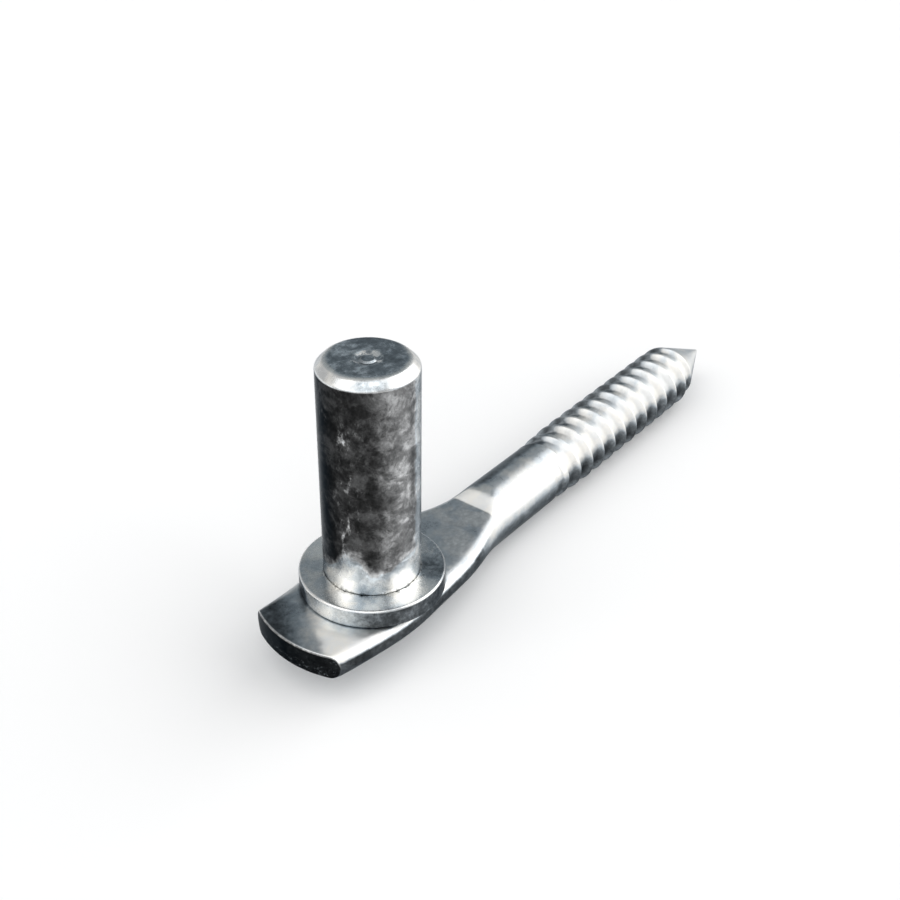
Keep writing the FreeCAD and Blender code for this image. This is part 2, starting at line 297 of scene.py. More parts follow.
def span(tree, value, low, high, to_low=0.0, to_high=1.0, smooth=True):
    """Map a value from one span to another, held at the ends."""
    inputs = dict(enumerate((value, low, high, to_low, to_high)))
    kind = "SMOOTHSTEP" if smooth else "LINEAR"
    return add_node(tree, "ShaderNodeMapRange", inputs, interpolation_type=kind).outputs[0]


def times(tree, first, *others):
    """The product of several values."""
    for other in others:
        first = maths(tree, "MULTIPLY", first, other)
    return first


def plus(tree, first, *others):
    """The sum of several values."""
    for other in others:
        first = maths(tree, "ADD", first, other)
    return first


def split(tree, vector):
    """The X, Y and Z parts of a vector."""
    return add_node(tree, "ShaderNodeSeparateXYZ", {0: vector}).outputs


def facing_parts(tree):
    """The X, Y and Z parts of the direction that the surface faces."""
    return split(tree, add_node(tree, "ShaderNodeNewGeometry").outputs["Normal"])


def clouds(tree, place, scale, detail=4.0, roughness=0.55, distortion=0.0):
    """A noise pattern; scale counts features in a metre."""
    inputs = {"Vector": place, "Scale": scale, "Detail": detail, "Roughness": roughness,
              "Distortion": distortion}
    return add_node(tree, "ShaderNodeTexNoise", inputs).outputs[0]


def wander(tree, pattern, width):
    """A shift of at most half the width to either side, from a noise pattern."""
    return times(tree, maths(tree, "SUBTRACT", pattern, 0.5), width)


def stretched(tree, place, scale):
    """The place, scaled along each axis, for streaks."""
    return add_node(tree, "ShaderNodeMapping", {"Vector": place, "Scale": scale},
                    vector_type="POINT").outputs[0]


def blend_colours(tree, share, low, high):
    """Mix two colours by a share."""
    low, high = (item if isinstance(item, bpy.types.NodeSocket) else (*item, 1.0)
                 for item in (low, high))
    return add_node(tree, "ShaderNodeMix", {0: share, 6: low, 7: high},
                    data_type="RGBA").outputs[2]


def attribute(tree, name):
    """A number stored on the mesh."""
    return add_node(tree, "ShaderNodeAttribute", attribute_type="GEOMETRY",
                    attribute_name=name).outputs["Fac"]


def ramp(tree, value, stops):
    """A smooth run of grey tones against a value between 0 and 1."""
    node = add_node(tree, "ShaderNodeFloatCurve", {"Value": value})
    curve = node.mapping.curves[0]
    while len(curve.points) < len(stops):
        curve.points.new(0.5, 0.5)
    for point, (at, tone) in zip(curve.points, stops):
        point.location = (at, tone)
    node.mapping.update()
    return node.outputs[0]


def turn_share(tree, place, wobble):
    """Share of a full turn round the pin's axis from +X towards +Y, slightly uneven."""
    across, side, _ = split(tree, place)
    turn = maths(tree, "ARCTAN2", side, across)
    drift = wander(tree, clouds(tree, place, 330.0, 4.0, 0.6), wobble)
    return maths(tree, "FRACT", plus(tree, maths(tree, "DIVIDE", turn, 2 * math.pi), drift))


def from_axis(tree, across, side):
    """Distance from the pin's axis."""
    return maths(tree, "SQRT", plus(tree, maths(tree, "POWER", across, 2.0),
                                    maths(tree, "POWER", side, 2.0)))


def lerp(tree, share, low, high):
    """A number between two others by a share."""
    return add_node(tree, "ShaderNodeMix", {0: share, 2: low, 3: high},
                    data_type="FLOAT").outputs[0]


def pin_tone(tree, place):
    """Tone of the pin, painted reflection and shade: dark on one side, lighter on the other, bright
    at the foot.
    """
    share = turn_share(tree, place, 0.048)
    across, side, height = split(tree, place)
    radius = from_axis(tree, across, side)

    # The wall's painted reflection and shade, and its painted bright reflection at the foot, whose
    # upper edge is uneven.
    wall = ramp(tree, share, PIN_WALL_PAINTED_LIGHT)
    foot = ramp(tree, share, PIN_FOOT_PAINTED_LIGHT)
    reach = times(tree, ramp(tree, share, PIN_FOOT_LIGHT_REACH), 10 * MM)
    level = plus(tree, height, wander(tree, clouds(tree, place, 900.0), 2.2 * MM))
    low = span(tree, level, times(tree, reach, 0.35), reach, 1.0, 0.0)
    tone = lerp(tree, low, wall, foot)

    # A broken column of light flecks down the dark side.
    flecks = clouds(tree, stretched(tree, place, (1.0, 1.0, 0.5)), 650.0, 8.0, 0.74)
    flecks = span(tree, flecks, 0.49, 0.60)
    patches = clouds(tree, stretched(tree, place, (1.0, 1.0, 0.6)), 380.0, 3.0)
    patches = span(tree, patches, 0.47, 0.58)
    column = times(tree, span(tree, share, 0.508, 0.526),
                   span(tree, share, 0.534, 0.556, 1.0, 0.0),
                   span(tree, height, 27 * MM, 33 * MM, 1.0, 0.0))
    tone = plus(tree, tone, times(tree, column, times(tree, flecks, patches), 0.36))

    # The chamfer, with a greyer stretch at the front.
    rim = span(tree, height, PIN_TOP - 1.6 * MM, PIN_TOP - 1.2 * MM)
    dip = times(tree, span(tree, share, 0.53, 0.60), span(tree, share, 0.65, 0.70, 0.4, 0.0))
    tone = lerp(tree, rim, tone, maths(tree, "SUBTRACT", 0.84, dip))

    # The top face with its centre mark, flecks round the mark and a painted highlight as a bright
    # brim at the front.
    face = span(tree, height, PIN_TOP - 0.12 * MM, PIN_TOP - 0.03 * MM)
    mark = times(tree, rim, span(tree, radius, 3 * MM, 4 * MM, 1.0, 0.0))
    face = maths(tree, "MAXIMUM", face, mark)
    behind = plus(tree, times(tree, across, 0.8), times(tree, side, 0.6))
    front_brim_highlight = times(tree, span(tree, radius, 5.7 * MM, 6.6 * MM),
                 span(tree, behind, 1.5 * MM, 4.5 * MM, 1.0, 0.0))
    specks = times(tree, span(tree, radius, 1.0 * MM, 1.5 * MM),
                   span(tree, radius, 2.3 * MM, 3.4 * MM, 1.0, 0.0), flecks, 0.55)
    tone = lerp(tree, face, tone, lerp(tree, front_brim_highlight, plus(tree, specks, 0.42), 1.0))

    under = span(tree, height, COLLAR_FOOT - 1.0 * MM, COLLAR_FOOT, 1.0, 0.0)
    return lerp(tree, under, tone, 0.4)


def collar_tone(tree, place):
    """Tone of the collar, painted reflection and shade: grey on one side of its top, clean at the
    front, dull round the rim.
    """
    share = turn_share(tree, place, 0.024)
    height = split(tree, place)[2]
    side = ramp(tree, share, COLLAR_SIDE_PAINTED_LIGHT)
    top = ramp(tree, share, COLLAR_TOP_PAINTED_LIGHT)
    upper = span(tree, height, COLLAR_TOP - 0.4 * MM, COLLAR_TOP - 0.1 * MM)
    return lerp(tree, upper, side, top)


def arm_tone(tree, place):
    """Tone of the arm, painted reflection and shade: dark on its low sides and end face, slate on
    top, clean at the ramp.
    """
    along, side, height = split(tree, place)
    forward, aside, upward = facing_parts(tree)
    drift = wander(tree, clouds(tree, place, 700.0, 5.0, 0.65), 0.36)

    # The round bar, painted reflection and shade by the direction that its surface faces; the
    # rolled part gets a painted highlight on top.
    turn = maths(tree, "ARCTAN2", upward, aside)
    turn = plus(tree, maths(tree, "DIVIDE", turn, 2 * math.pi), times(tree, drift, 0.06))
    bar = ramp(tree, maths(tree, "FRACT", turn), BAR_PAINTED_LIGHT)
    rolled = times(tree, span(tree, along, 46 * MM, 53 * MM, 0.0, 0.42),
                   span(tree, upward, 0.45, 0.75))
    bar = maths(tree, "MAXIMUM", bar, rolled)

    # The sides of the eye and neck, painted reflection and shade: dark low down, clean along the
    # top edge, grey underneath.
    flank = span(tree, plus(tree, height, times(tree, drift, 1.2 * MM)),
                 -4.75 * MM, -4.25 * MM, 0.07, 0.95)
    belly = span(tree, plus(tree, upward, drift), -0.75, -0.25, 0.36, 0.0)
    flank = maths(tree, "MAXIMUM", flank, belly)
    tone = lerp(tree, span(tree, along, 17 * MM, 27 * MM), flank, bar)

    # The end face, nearly black with light chips along its lower edge, and painted shade greying
    # the cone, whose faces look along +X.
    ending = times(tree, span(tree, forward, -0.75, -0.35, 1.0, 0.0),
                   span(tree, along, -14 * MM, -12 * MM, 1.0, 0.0))
    chips = clouds(tree, stretched(tree, place, (1.0, 1.0, 2.2)), 1100.0, 8.0, 0.8)
    chips = times(tree, span(tree, chips, 0.54, 0.66),
                  span(tree, height, -6.6 * MM, -5.4 * MM, 0.22, 0.02))
    tone = lerp(tree, ending, tone, plus(tree, chips, 0.009))
    tone = times(tree, tone, span(tree, forward, 0.5, 0.66, 1.0, 0.66))

    # The flat top, painted reflection and shade: slate at the far corner, clean at the near one,
    # painted shade under the collar's rim, grey behind the collar and bright on the ramp.
    reach = from_axis(tree, along, side)
    across = maths(tree, "SUBTRACT", times(tree, along, 0.82), times(tree, side, 0.573))
    across = plus(tree, across, times(tree, drift, 5 * MM))
    clean = span(tree, reach, 12.2 * MM, 15.5 * MM, 0.72, 1.0)
    slate = lerp(tree, span(tree, across, -17.5 * MM, -10.2 * MM), 0.13, clean)
    slate = lerp(tree, span(tree, along, 9 * MM, 13 * MM), slate, 0.6)
    # Painted shade: darker in the corner round the collar's rim.
    slate = times(tree, slate, span(tree, reach, 12.1 * MM, 12.55 * MM, 0.5, 1.0))
    slate = lerp(tree, span(tree, along, 27.0 * MM, 27.5 * MM), slate, 1.0)
    beyond = plus(tree, along, times(tree, drift, 6 * MM))
    flat = times(tree, span(tree, upward, 0.80, 0.91),
                 span(tree, beyond, 29.6 * MM, 31.8 * MM, 1.0, 0.0))
    return lerp(tree, flat, tone, slate)


def zinc_material(name, finish, tone, mottle, contrast, blotches=0.0,
                  streaks=(900.0, 900.0, 900.0), scuffs=0.1, hollows=0.0, frost=0.0, cool=0.0,
                  rough=(0.18, 0.36)):
    """Zinc plating: painted reflection and shade, mottled colour, streaks, scuffs, highlighted worn
    edges and a fine grain.

    tone builds the nodes of the tone, painted reflection and shade. mottle counts the mottling's
    features in a metre, and contrast is its strength. blotches, scuffs, hollows and frost are the
    strengths of light blotches, light scratches, darker base colour in the thread's grooves and
    dullness of the cleanest zinc. cool is the tone under which the film turns neutral, and rough
    the least and greatest roughness.
    """
    material = bpy.data.materials.new(name)
    material.use_nodes = True
    tree = material.node_tree
    shader = tree.nodes["Principled BSDF"]
    shader.inputs["Metallic"].default_value = 1.0
    shader.inputs["Specular Tint"].default_value = (0.5, 0.52, 0.54, 1.0)
    place = add_node(tree, "ShaderNodeTexCoord").outputs["Object"]

    # Mottling, strongest where the painted reflection and shade tone is dark.
    broad = clouds(tree, place, mottle * 0.6, 4.0, 0.6, 0.4)
    fine = clouds(tree, place, mottle * 2.6, 6.0, 0.7, 0.2)
    grain = clouds(tree, place, mottle * 9.0, 3.0, 0.7)
    mixed = plus(tree, times(tree, broad, 0.5), times(tree, fine, 0.5))
    patina_and_painted_light = tone(tree, place)
    calm = maths(tree, "POWER", maths(tree, "SUBTRACT", 1.1, patina_and_painted_light), 1.6)
    swing = times(tree, wander(tree, mixed, 14.0 * contrast), calm)
    level = times(tree, patina_and_painted_light, maths(tree, "POWER", 2.0, swing))

    if blotches:
        spots = clouds(tree, place, mottle * 0.6, 9.0, 0.74, 0.5)
        spots = times(tree, span(tree, spots, 0.48, 0.60), maths(tree, "POWER", patina_and_painted_light, 0.8),
                      span(tree, patina_and_painted_light, 0.42, 0.55, 1.0, 0.12), blotches)
        level = plus(tree, level, spots)

    streak = clouds(tree, stretched(tree, place, streaks), 1.0, 6.0, 0.75)
    area = span(tree, clouds(tree, place, mottle * 0.5, 3.0, 0.6), 0.46, 0.62)
    scuffed = times(tree, span(tree, streak, 0.54, 0.70), area)
    level = plus(tree, level, times(tree, scuffed, scuffs))

    # Base colour darker in the thread's grooves.
    if hollows:
        groove_darkening = times(tree, span(tree, attribute(tree, "groove"), 0.25, 0.95),
                     times(tree, calm, hollows))
        level = times(tree, level, maths(tree, "SUBTRACT", 1.0, groove_darkening))

    # Colour: neutral where darkest, cool where dull, nearly white and warmer in places where clean.
    dull = blend_colours(tree, span(tree, patina_and_painted_light, cool - 0.08, cool + 0.04), (0.95, 0.96, 0.97),
                         finish.dull)
    tint = blend_colours(tree, span(tree, patina_and_painted_light, 0.45, 0.95), dull, finish.bright)
    warmth = times(tree, span(tree, broad, 0.42, 0.62), span(tree, patina_and_painted_light, 0.2, 0.9))
    tint = blend_colours(tree, warmth, tint, finish.warm)
    scaled = add_node(tree, "ShaderNodeVectorMath",
                      {0: tint, "Scale": maths(tree, "MINIMUM", level, 1.0)}, operation="SCALE")

    # Edges that look up are rubbed bright: rubbed wear with a painted highlight, kept to edges that
    # look up.
    edge = times(tree, span(tree, attribute(tree, "edge"), 0.35, 1.0),
                 span(tree, facing_parts(tree)[2], 0.0, 0.35),
                 span(tree, fine, 0.32, 0.6, 0.55, 0.15))
    feed(tree, shader.inputs["Base Color"],
         blend_colours(tree, edge, scaled.outputs[0], finish.rubbed_edge_highlight))

    dullness = span(tree, mixed, 0.35, 0.68, *rough, smooth=False)
    if hollows:
        groove = span(tree, attribute(tree, "groove"), 0.0, 0.8)
        dullness = plus(tree, dullness, times(tree, groove, 0.16))
    feed(tree, shader.inputs["Roughness"],
         plus(tree, dullness, span(tree, patina_and_painted_light, 0.80, 1.0, 0.0, frost)))

    height = plus(tree, times(tree, fine, 0.7), times(tree, grain, 0.3),
                  times(tree, scuffed, -0.4))
    relief = add_node(tree, "ShaderNodeBump",
                      {"Strength": 0.2, "Distance": 0.10 * MM, "Height": height})
    feed(tree, shader.inputs["Normal"], relief.outputs["Normal"])
    return material


def spline(table, column):
    """A smooth curve through one column of a table, against its first column."""
    xs = [row[0] for row in table]
    ys = [row[column] for row in table]
    count = len(xs)
    gaps = [xs[i + 1] - xs[i] for i in range(count - 1)]
    slopes = [(ys[i + 1] - ys[i]) / gaps[i] for i in range(count - 1)]
    bends = [0.0] * count
    upper = [0.0] * count
    for i in range(1, count - 1):
        pivot = 2 * (gaps[i - 1] + gaps[i]) - gaps[i - 1] * upper[i - 1]
        upper[i] = gaps[i] / pivot
        bends[i] = (6 * (slopes[i] - slopes[i - 1]) - gaps[i - 1] * bends[i - 1]) / pivot
    for i in range(count - 2, 0, -1):
        bends[i] -= upper[i] * bends[i + 1]

    def value(x):
        i = 0
        while i < count - 2 and x > xs[i + 1]:
            i += 1
        gap = gaps[i]
        before = (xs[i + 1] - x) / gap
        after = (x - xs[i]) / gap
        curve = (before ** 3 - before) * bends[i] + (after ** 3 - after) * bends[i + 1]
        return before * ys[i] + after * ys[i + 1] + curve * gap * gap / 6

    return value


def soft_min(a, b, softness):
    """The lesser of two numbers with a rounded corner, and how near the corner is."""
    near = max(softness - abs(a - b), 0.0) / softness
    return min(a, b) - near * near * softness / 4, near


def ring_faces(rows, closed):
    """Vertices and faces of a skin over rings of points; a ring of one point is a pole."""
    points = []
    starts = []
    for row in rows:
        starts.append(len(points))
        points.extend(row)
    faces = []
    for i in range(len(rows) if closed else len(rows) - 1):
        j = (i + 1) % len(rows)
        around = max(len(rows[i]), len(rows[j]))
        for k in range(around):
            following = (k + 1) % around
            corners = []
            for start, row in ((starts[i], rows[i]), (starts[j], rows[j])):
                if len(row) == 1:
                    corners.append((start,))
                else:
                    corners.append((start + k, start + following))
            faces.append(corners[0] + tuple(reversed(corners[1])))
    return points, faces


def face_outwards(mesh):
    """Turn the faces of a closed mesh outwards and shade them smooth."""
    work = bmesh.new()
    work.from_mesh(mesh)
    bmesh.ops.recalc_face_normals(work, faces=work.faces)
    for face in work.faces:
        face.smooth = True
    work.to_mesh(mesh)
    work.free()


def skin(name, rows, edges, material, closed=False):
    """A smooth object over rings of points in mm; edges holds a number for each point.

    A closed one goes on from its last ring to its first.
    """
    points, faces = ring_faces(rows, closed)
    mesh = bpy.data.meshes.new(name)
    mesh.from_pydata([[c * MM for c in point] for point in points], [], faces)
    stored = mesh.attributes.new("edge", "FLOAT", "POINT")
    stored.data.foreach_set("value", [value for row in edges for value in row])
    face_outwards(mesh)
    mesh.materials.append(material)
    piece = bpy.data.objects.new(name, mesh)
    bpy.context.scene.collection.objects.link(piece)
    return piece


def turned_rows(profile, around):
    """Rings round the pin's axis from a profile of (radius, height, edge) in mm."""
    turns = [2 * math.pi * k / around for k in range(around)]
    rows = []
    edges = []
    for radius, height, edge in profile:
        if radius < 1e-6:
            rows.append([(0.0, 0.0, height)])
            edges.append([edge])
            continue
        rows.append([(radius * math.cos(t), radius * math.sin(t), height) for t in turns])
        edges.append([edge] * around)
    return rows, edges


def eased_profile(corners, closed=False, step=0.9):
    """A profile with rounded corners from (radius, height, rounding) in mm.

    Long runs are divided, and each point carries how near it is to a rounded corner.
    """
    count = len(corners)
    points = []
    for i, (radius, height, rounding) in enumerate(corners):
        here = Vector((radius, height))
        ends = not closed and i in (0, count - 1)
        if rounding <= 0 or ends:
            points.append((here, 0.0))
            continue
        before = Vector(corners[(i - 1) % count][:2]) - here
        after = Vector(corners[(i + 1) % count][:2]) - here
        half = before.angle(after) / 2
        back = min(rounding / math.tan(half), before.length * 0.48, after.length * 0.48)
        first = here + before.normalized() * back
        last = here + after.normalized() * back
        for j in range(7):
            share = j / 6
            arc = first * (1 - share) ** 2 + here * 2 * share * (1 - share) + last * share ** 2
            points.append((arc, math.sin(math.pi * share) * 0.6 + 0.4))
    divided = []
    loop = points + points[:1] if closed else points
    for (a, edge_a), (b, _) in zip(loop, loop[1:]):
        parts = max(1, math.ceil((b - a).length / step))
        for j in range(parts):
            share = j / parts
            spot = a.lerp(b, share)
            edge = edge_a if j == 0 else 0.0
            divided.append((spot.x, spot.y, edge))
    if not closed:
        divided.append((points[-1][0].x, points[-1][0].y, points[-1][1]))
    return divided


def thread_tree():
    """Node group that rolls a wood thread into a round bar lying along X."""
    tree = bpy.data.node_groups.new("WoodThread", "GeometryNodeTree")
    tree.interface.new_socket("Geometry", in_out="OUTPUT", socket_type="NodeSocketGeometry")
    tree.interface.new_socket("Geometry", in_out="INPUT", socket_type="NodeSocketGeometry")
    for label in ("Axis Height", "Crest Radius", "Depth", "Pitch", "Crest Width", "Root Width",
                  "First Groove", "Run-in", "Head Start", "Unevenness"):
        tree.interface.new_socket(label, in_out="INPUT", socket_type="NodeSocketFloat")
    tree.interface.new_socket("Material", in_out="INPUT", socket_type="NodeSocketMaterial")
    given = add_node(tree, "NodeGroupInput").outputs

    place = add_node(tree, "GeometryNodeInputPosition").outputs[0]
    along, side, height = split(tree, place)
    rise = maths(tree, "SUBTRACT", height, given["Axis Height"])
    radius = maths(tree, "SQRT", plus(tree, times(tree, side, side), times(tree, rise, rise)))
    turn = maths(tree, "SUBTRACT", maths(tree, "ARCTAN2", rise, side), math.pi / 2)
    share = maths(tree, "FRACT", maths(tree, "DIVIDE", turn, 2 * math.pi))

    # How far each point lies from the middle of the groove, and how deep the groove is there.
    steps = maths(tree, "SUBTRACT", along, given["First Groove"])
    steps = maths(tree, "SUBTRACT", maths(tree, "DIVIDE", steps, given["Pitch"]), share)
    nearest = maths(tree, "ROUND", steps)
    off = maths(tree, "ABSOLUTE", maths(tree, "SUBTRACT", steps, nearest))
    off = times(tree, off, given["Pitch"])
    turns = plus(tree, share, nearest, given["Head Start"])
    growth = plus(tree, maths(tree, "DIVIDE", turns, given["Run-in"]), 1.0)
    growth = maths(tree, "MINIMUM", maths(tree, "MAXIMUM", growth, 0.0), 1.0)
    uneven = wander(tree, clouds(tree, place, 260.0, 2.0, 0.5),
                    times(tree, given["Unevenness"], 2.0))

    # The groove's floor and walls; the bar is pressed in to them where it stands out.
    sunk = times(tree, plus(tree, given["Depth"], GROOVE_CLEAR), growth)
    floor = maths(tree, "SUBTRACT", plus(tree, given["Crest Radius"], GROOVE_CLEAR), sunk)
    half_root = times(tree, given["Root Width"], 0.5)
    half_groove = times(tree, maths(tree, "SUBTRACT", given["Pitch"], given["Crest Width"]), 0.5)
    slope = maths(tree, "DIVIDE", given["Depth"], maths(tree, "SUBTRACT", half_groove, half_root))
    outside = maths(tree, "SMOOTH_MAX", maths(tree, "SUBTRACT", off, half_root), 0.0, 0.35 * MM)
    wall = plus(tree, floor, times(tree, outside, slope), uneven)
    cut = maths(tree, "MINIMUM", maths(tree, "SMOOTH_MIN", radius, wall, 0.16 * MM), radius)
    deep = maths(tree, "DIVIDE", maths(tree, "SUBTRACT", radius, cut), given["Depth"])
    scale = maths(tree, "DIVIDE", cut, radius)

    moved = add_node(tree, "ShaderNodeCombineXYZ", {
        0: along, 1: times(tree, side, scale),
        2: plus(tree, times(tree, rise, scale), given["Axis Height"])}).outputs[0]
    start = maths(tree, "SUBTRACT", given["First Groove"], times(tree, given["Pitch"], 2.0))
    past = add_node(tree, "FunctionNodeCompare", {0: along, 1: start}, data_type="FLOAT",
                    operation="GREATER_THAN").outputs[0]
    marked = add_node(tree, "GeometryNodeStoreNamedAttribute", {
        "Geometry": given["Geometry"], "Selection": past, "Name": "groove", "Value": deep},
        data_type="FLOAT", domain="POINT")
    rolled = add_node(tree, "GeometryNodeSetPosition", {
        "Geometry": marked.outputs["Geometry"], "Selection": past, "Position": moved})
    real = add_node(tree, "GeometryNodeRealizeInstances",
                    {"Geometry": rolled.outputs["Geometry"]})
    dressed = add_node(tree, "GeometryNodeSetMaterial", {
        "Geometry": real.outputs["Geometry"], "Material": given["Material"]})
    add_node(tree, "NodeGroupOutput", {"Geometry": dressed.outputs["Geometry"]})
    return tree


def apply_modifiers(piece):
    """Replace the piece's mesh by its evaluated mesh and remove its modifiers."""
    bpy.context.view_layer.update()
    graph = bpy.context.evaluated_depsgraph_get()
    mesh = bpy.data.meshes.new_from_object(piece.evaluated_get(graph))
    old = piece.data
    piece.modifiers.clear()
    piece.data = mesh
    mesh.name = piece.name
    bpy.data.meshes.remove(old)


def finish_piece(piece, node):
    """Hand the piece to the frame in place of a CAD node."""
    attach(piece, "root")
    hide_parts(node)


class Blank:
    """The forged blank of the arm before the thread is rolled, in mm."""

    def __init__(self, arm, thread):
        self.axis = arm.axis_height / MM
        self.bar = arm.bar_diameter / MM / 2
        self.rise = arm.plate_rise / MM
        self.drop = arm.plate_drop / MM
        self.top_ramp = (arm.top_ramp_start / MM, arm.top_ramp_run / MM)
        self.under_ramp = (arm.under_ramp_start / MM, arm.under_ramp_run / MM)
        self.end = arm.end_radius / MM
        self.softness = arm.edge_round / MM
        self.ease = arm.end_ease / MM
        self.around = arm.around
        self.crest = thread.crest_diameter / MM / 2
        self.swell = (thread.start / MM, thread.lead / MM)
        self.tip = (thread.tip_start / MM, thread.tip_length / MM)
        self.width = spline(BLANK_WIDTHS, 1)
        self.shift = spline(BLANK_WIDTHS, 2)
        self.thick = spline(BLANK_DEPTHS, 1)
        self.lift = spline(BLANK_DEPTHS, 2)

    def limits(self, x):
        """Top and underside planes at x, over the bar's axis."""
        start, run = self.top_ramp
        climb = self.rise + (x - start) * (self.bar - self.rise) / run
        top = -soft_min(-self.rise, -climb, TOP_SOFT)[0]
        start, run = self.under_ramp
        fall = -self.drop - (x - start) * (self.bar - self.drop) / run
        under = soft_min(-self.drop, fall, UNDER_SOFT)[0]
        return top, under

    def plate_point(self, x, turn):
        """Point (y, z) of the plate or neck at x, and how near it is to an edge."""
        y = self.shift(x) + self.width(x) / 2 * math.cos(turn)
        z = self.lift(x) + self.thick(x) / 2 * math.sin(turn)
        top, under = self.limits(x)
        z, near_top = soft_min(z, top, self.softness)
        z, near_under = soft_min(-z, -under, self.softness)
        fade = max(0.0, min(1.0, (EDGE_END - x) / EDGE_FADE))
        return y, self.axis - z, max(near_top, near_under) * fade

    def bar_radius(self, x):
        """Radius of the round bar, its swelling and its cone at x."""
        start, lead = self.swell
        share = max(0.0, min(1.0, (x - start) / lead))
        radius = self.bar + (self.crest - self.bar) * share
        start, run = self.tip
        cone = self.crest - (x - start) * (self.crest - POINT_RADIUS) / run
        return soft_min(radius, cone, TIP_SOFT)[0]

    def ring(self, x):
        """Ring of points at x, and the edge number of each."""
        turns = [2 * math.pi * k / self.around for k in range(self.around)]
        if x < BAR_START:
            spots = [self.plate_point(x, turn) for turn in turns]
            return [(x, y, z) for y, z, _ in spots], [edge for _, _, edge in spots]
        radius = self.bar_radius(x)
        ring = [(x, radius * math.cos(t), self.axis + radius * math.sin(t)) for t in turns]
        return ring, [0.0] * self.around

    def end_rows(self, parts):
        """Rings of the arched end of the eye, from the middle of its end face to the join."""
        turns = [2 * math.pi * k / self.around for k in range(self.around)]
        reach = []
        for turn in turns:
            x = -self.end
            for _ in range(6):
                y = self.plate_point(x, turn)[0]
                x = -math.sqrt(self.end ** 2 - y ** 2)
            reach.append(x)
        outline = [self.plate_point(x, turn)[:2] for x, turn in zip(reach, turns)]
        inward = []
        for k in range(self.around):
            before = Vector(outline[k - 1])
            after = Vector(outline[(k + 1) % self.around])
            run = (after - before).normalized()
            inward.append(Vector((-run.y, run.x)))
        rows = []
        edges = []
        inner = [Vector(spot) + normal * self.ease for spot, normal in zip(outline, inward)]
        middle = sum(inner, Vector((0.0, 0.0))) / self.around
        rows.append([(-math.sqrt(self.end ** 2 - middle.x ** 2), middle.x, middle.y)])
        edges.append([0.0])
        for share in END_SHARES:
            spots = [middle.lerp(spot, share) for spot in inner]
            rows.append([(-math.sqrt(self.end ** 2 - s.x ** 2), s.x, s.y) for s in spots])
            edges.append([0.0] * self.around)
        for lean in map(math.radians, END_LEANS):
            back = self.ease * (1 - math.sin(lean))
            inset = self.ease * (1 - math.cos(lean))
            row = []
            for spot, normal, x in zip(outline, inward, reach):
                place = Vector(spot) + normal * inset
                row.append((x + back, place.x, place.y))
            rows.append(row)
            edges.append([math.sin(2 * lean) * 0.5 + 0.5] * self.around)
        for j in range(1, parts + 1):
            share = j / parts
            row = []
            near = []
            for turn, x in zip(turns, reach):
                spot_x = (x + self.ease) * (1 - share) + EYE_JOIN * share
                y, z, edge = self.plate_point(spot_x, turn)
                row.append((spot_x, y, z))
                near.append(edge)
            rows.append(row)
            edges.append(near)
        return rows, edges

    def rows(self):
        """All rings of the blank from the eye's end to the point."""
        rows, edges = self.end_rows(30)
        for first, last, step in RING_RUNS:
            parts = math.ceil((last - first) / step)
            for j in range(1, parts + 1):
                ring, near = self.ring(first + (last - first) * j / parts)
                rows.append(ring)
                edges.append(near)
        rows.append([(ARM_TIP / MM, 0.0, self.axis)])
        edges.append([0.0])
        return rows, edges


class HINGE_OT_threaded_arm(bpy.types.Operator):
    """Build the forged arm with its eye, neck, bar and wood thread"""

    bl_idname = "hinge.threaded_arm"
    bl_label = "Threaded Arm"

    def execute(self, context):
        scene = context.scene
        arm, thread, finish = scene.hinge_arm, scene.hinge_thread, scene.hinge_finish
        plating = zinc_material("arm_zinc", finish, arm_tone, mottle=430.0, contrast=0.52,
                                hollows=0.55, streaks=(160.0, 1500.0, 1500.0), scuffs=0.06,
                                frost=0.3, rough=(0.25, 0.42))
        rows, edges = Blank(arm, thread).rows()
        piece = skin("arm_forged", rows, edges, plating)

        tool = bpy.data.objects.new("hole_tool", bpy.data.meshes.new("hole_tool"))
        work = bmesh.new()
        bmesh.ops.create_cone(work, cap_ends=True, segments=96, radius1=arm.hole_diameter / 2,
                              radius2=arm.hole_diameter / 2, depth=30 * MM)
        work.to_mesh(tool.data)
        work.free()
        scene.collection.objects.link(tool)
        hole = piece.modifiers.new("Hole", "BOOLEAN")
        hole.operation = "DIFFERENCE"
        hole.solver = "EXACT"
        hole.object = tool

        rolled = piece.modifiers.new("Thread", "NODES")
        rolled.node_group = thread_tree()
        values = {
            "Axis Height": arm.axis_height,
            "Crest Radius": thread.crest_diameter / 2,
            "Depth": thread.depth,
            "Pitch": thread.pitch,
            "Crest Width": thread.crest_width,
            "Root Width": thread.root_width,
            "First Groove": thread.first_groove,
            "Run-in": thread.run_in,
            "Head Start": thread.head_start,
            "Unevenness": thread.unevenness,
            "Material": plating,
        }
        for item in rolled.node_group.interface.items_tree:
            if item.in_out == "INPUT" and item.name in values:
                rolled[item.identifier] = values[item.name]
        apply_modifiers(piece)
        bpy.data.objects.remove(tool)
        finish_piece(piece, "threaded_arm")
        return {"FINISHED"}


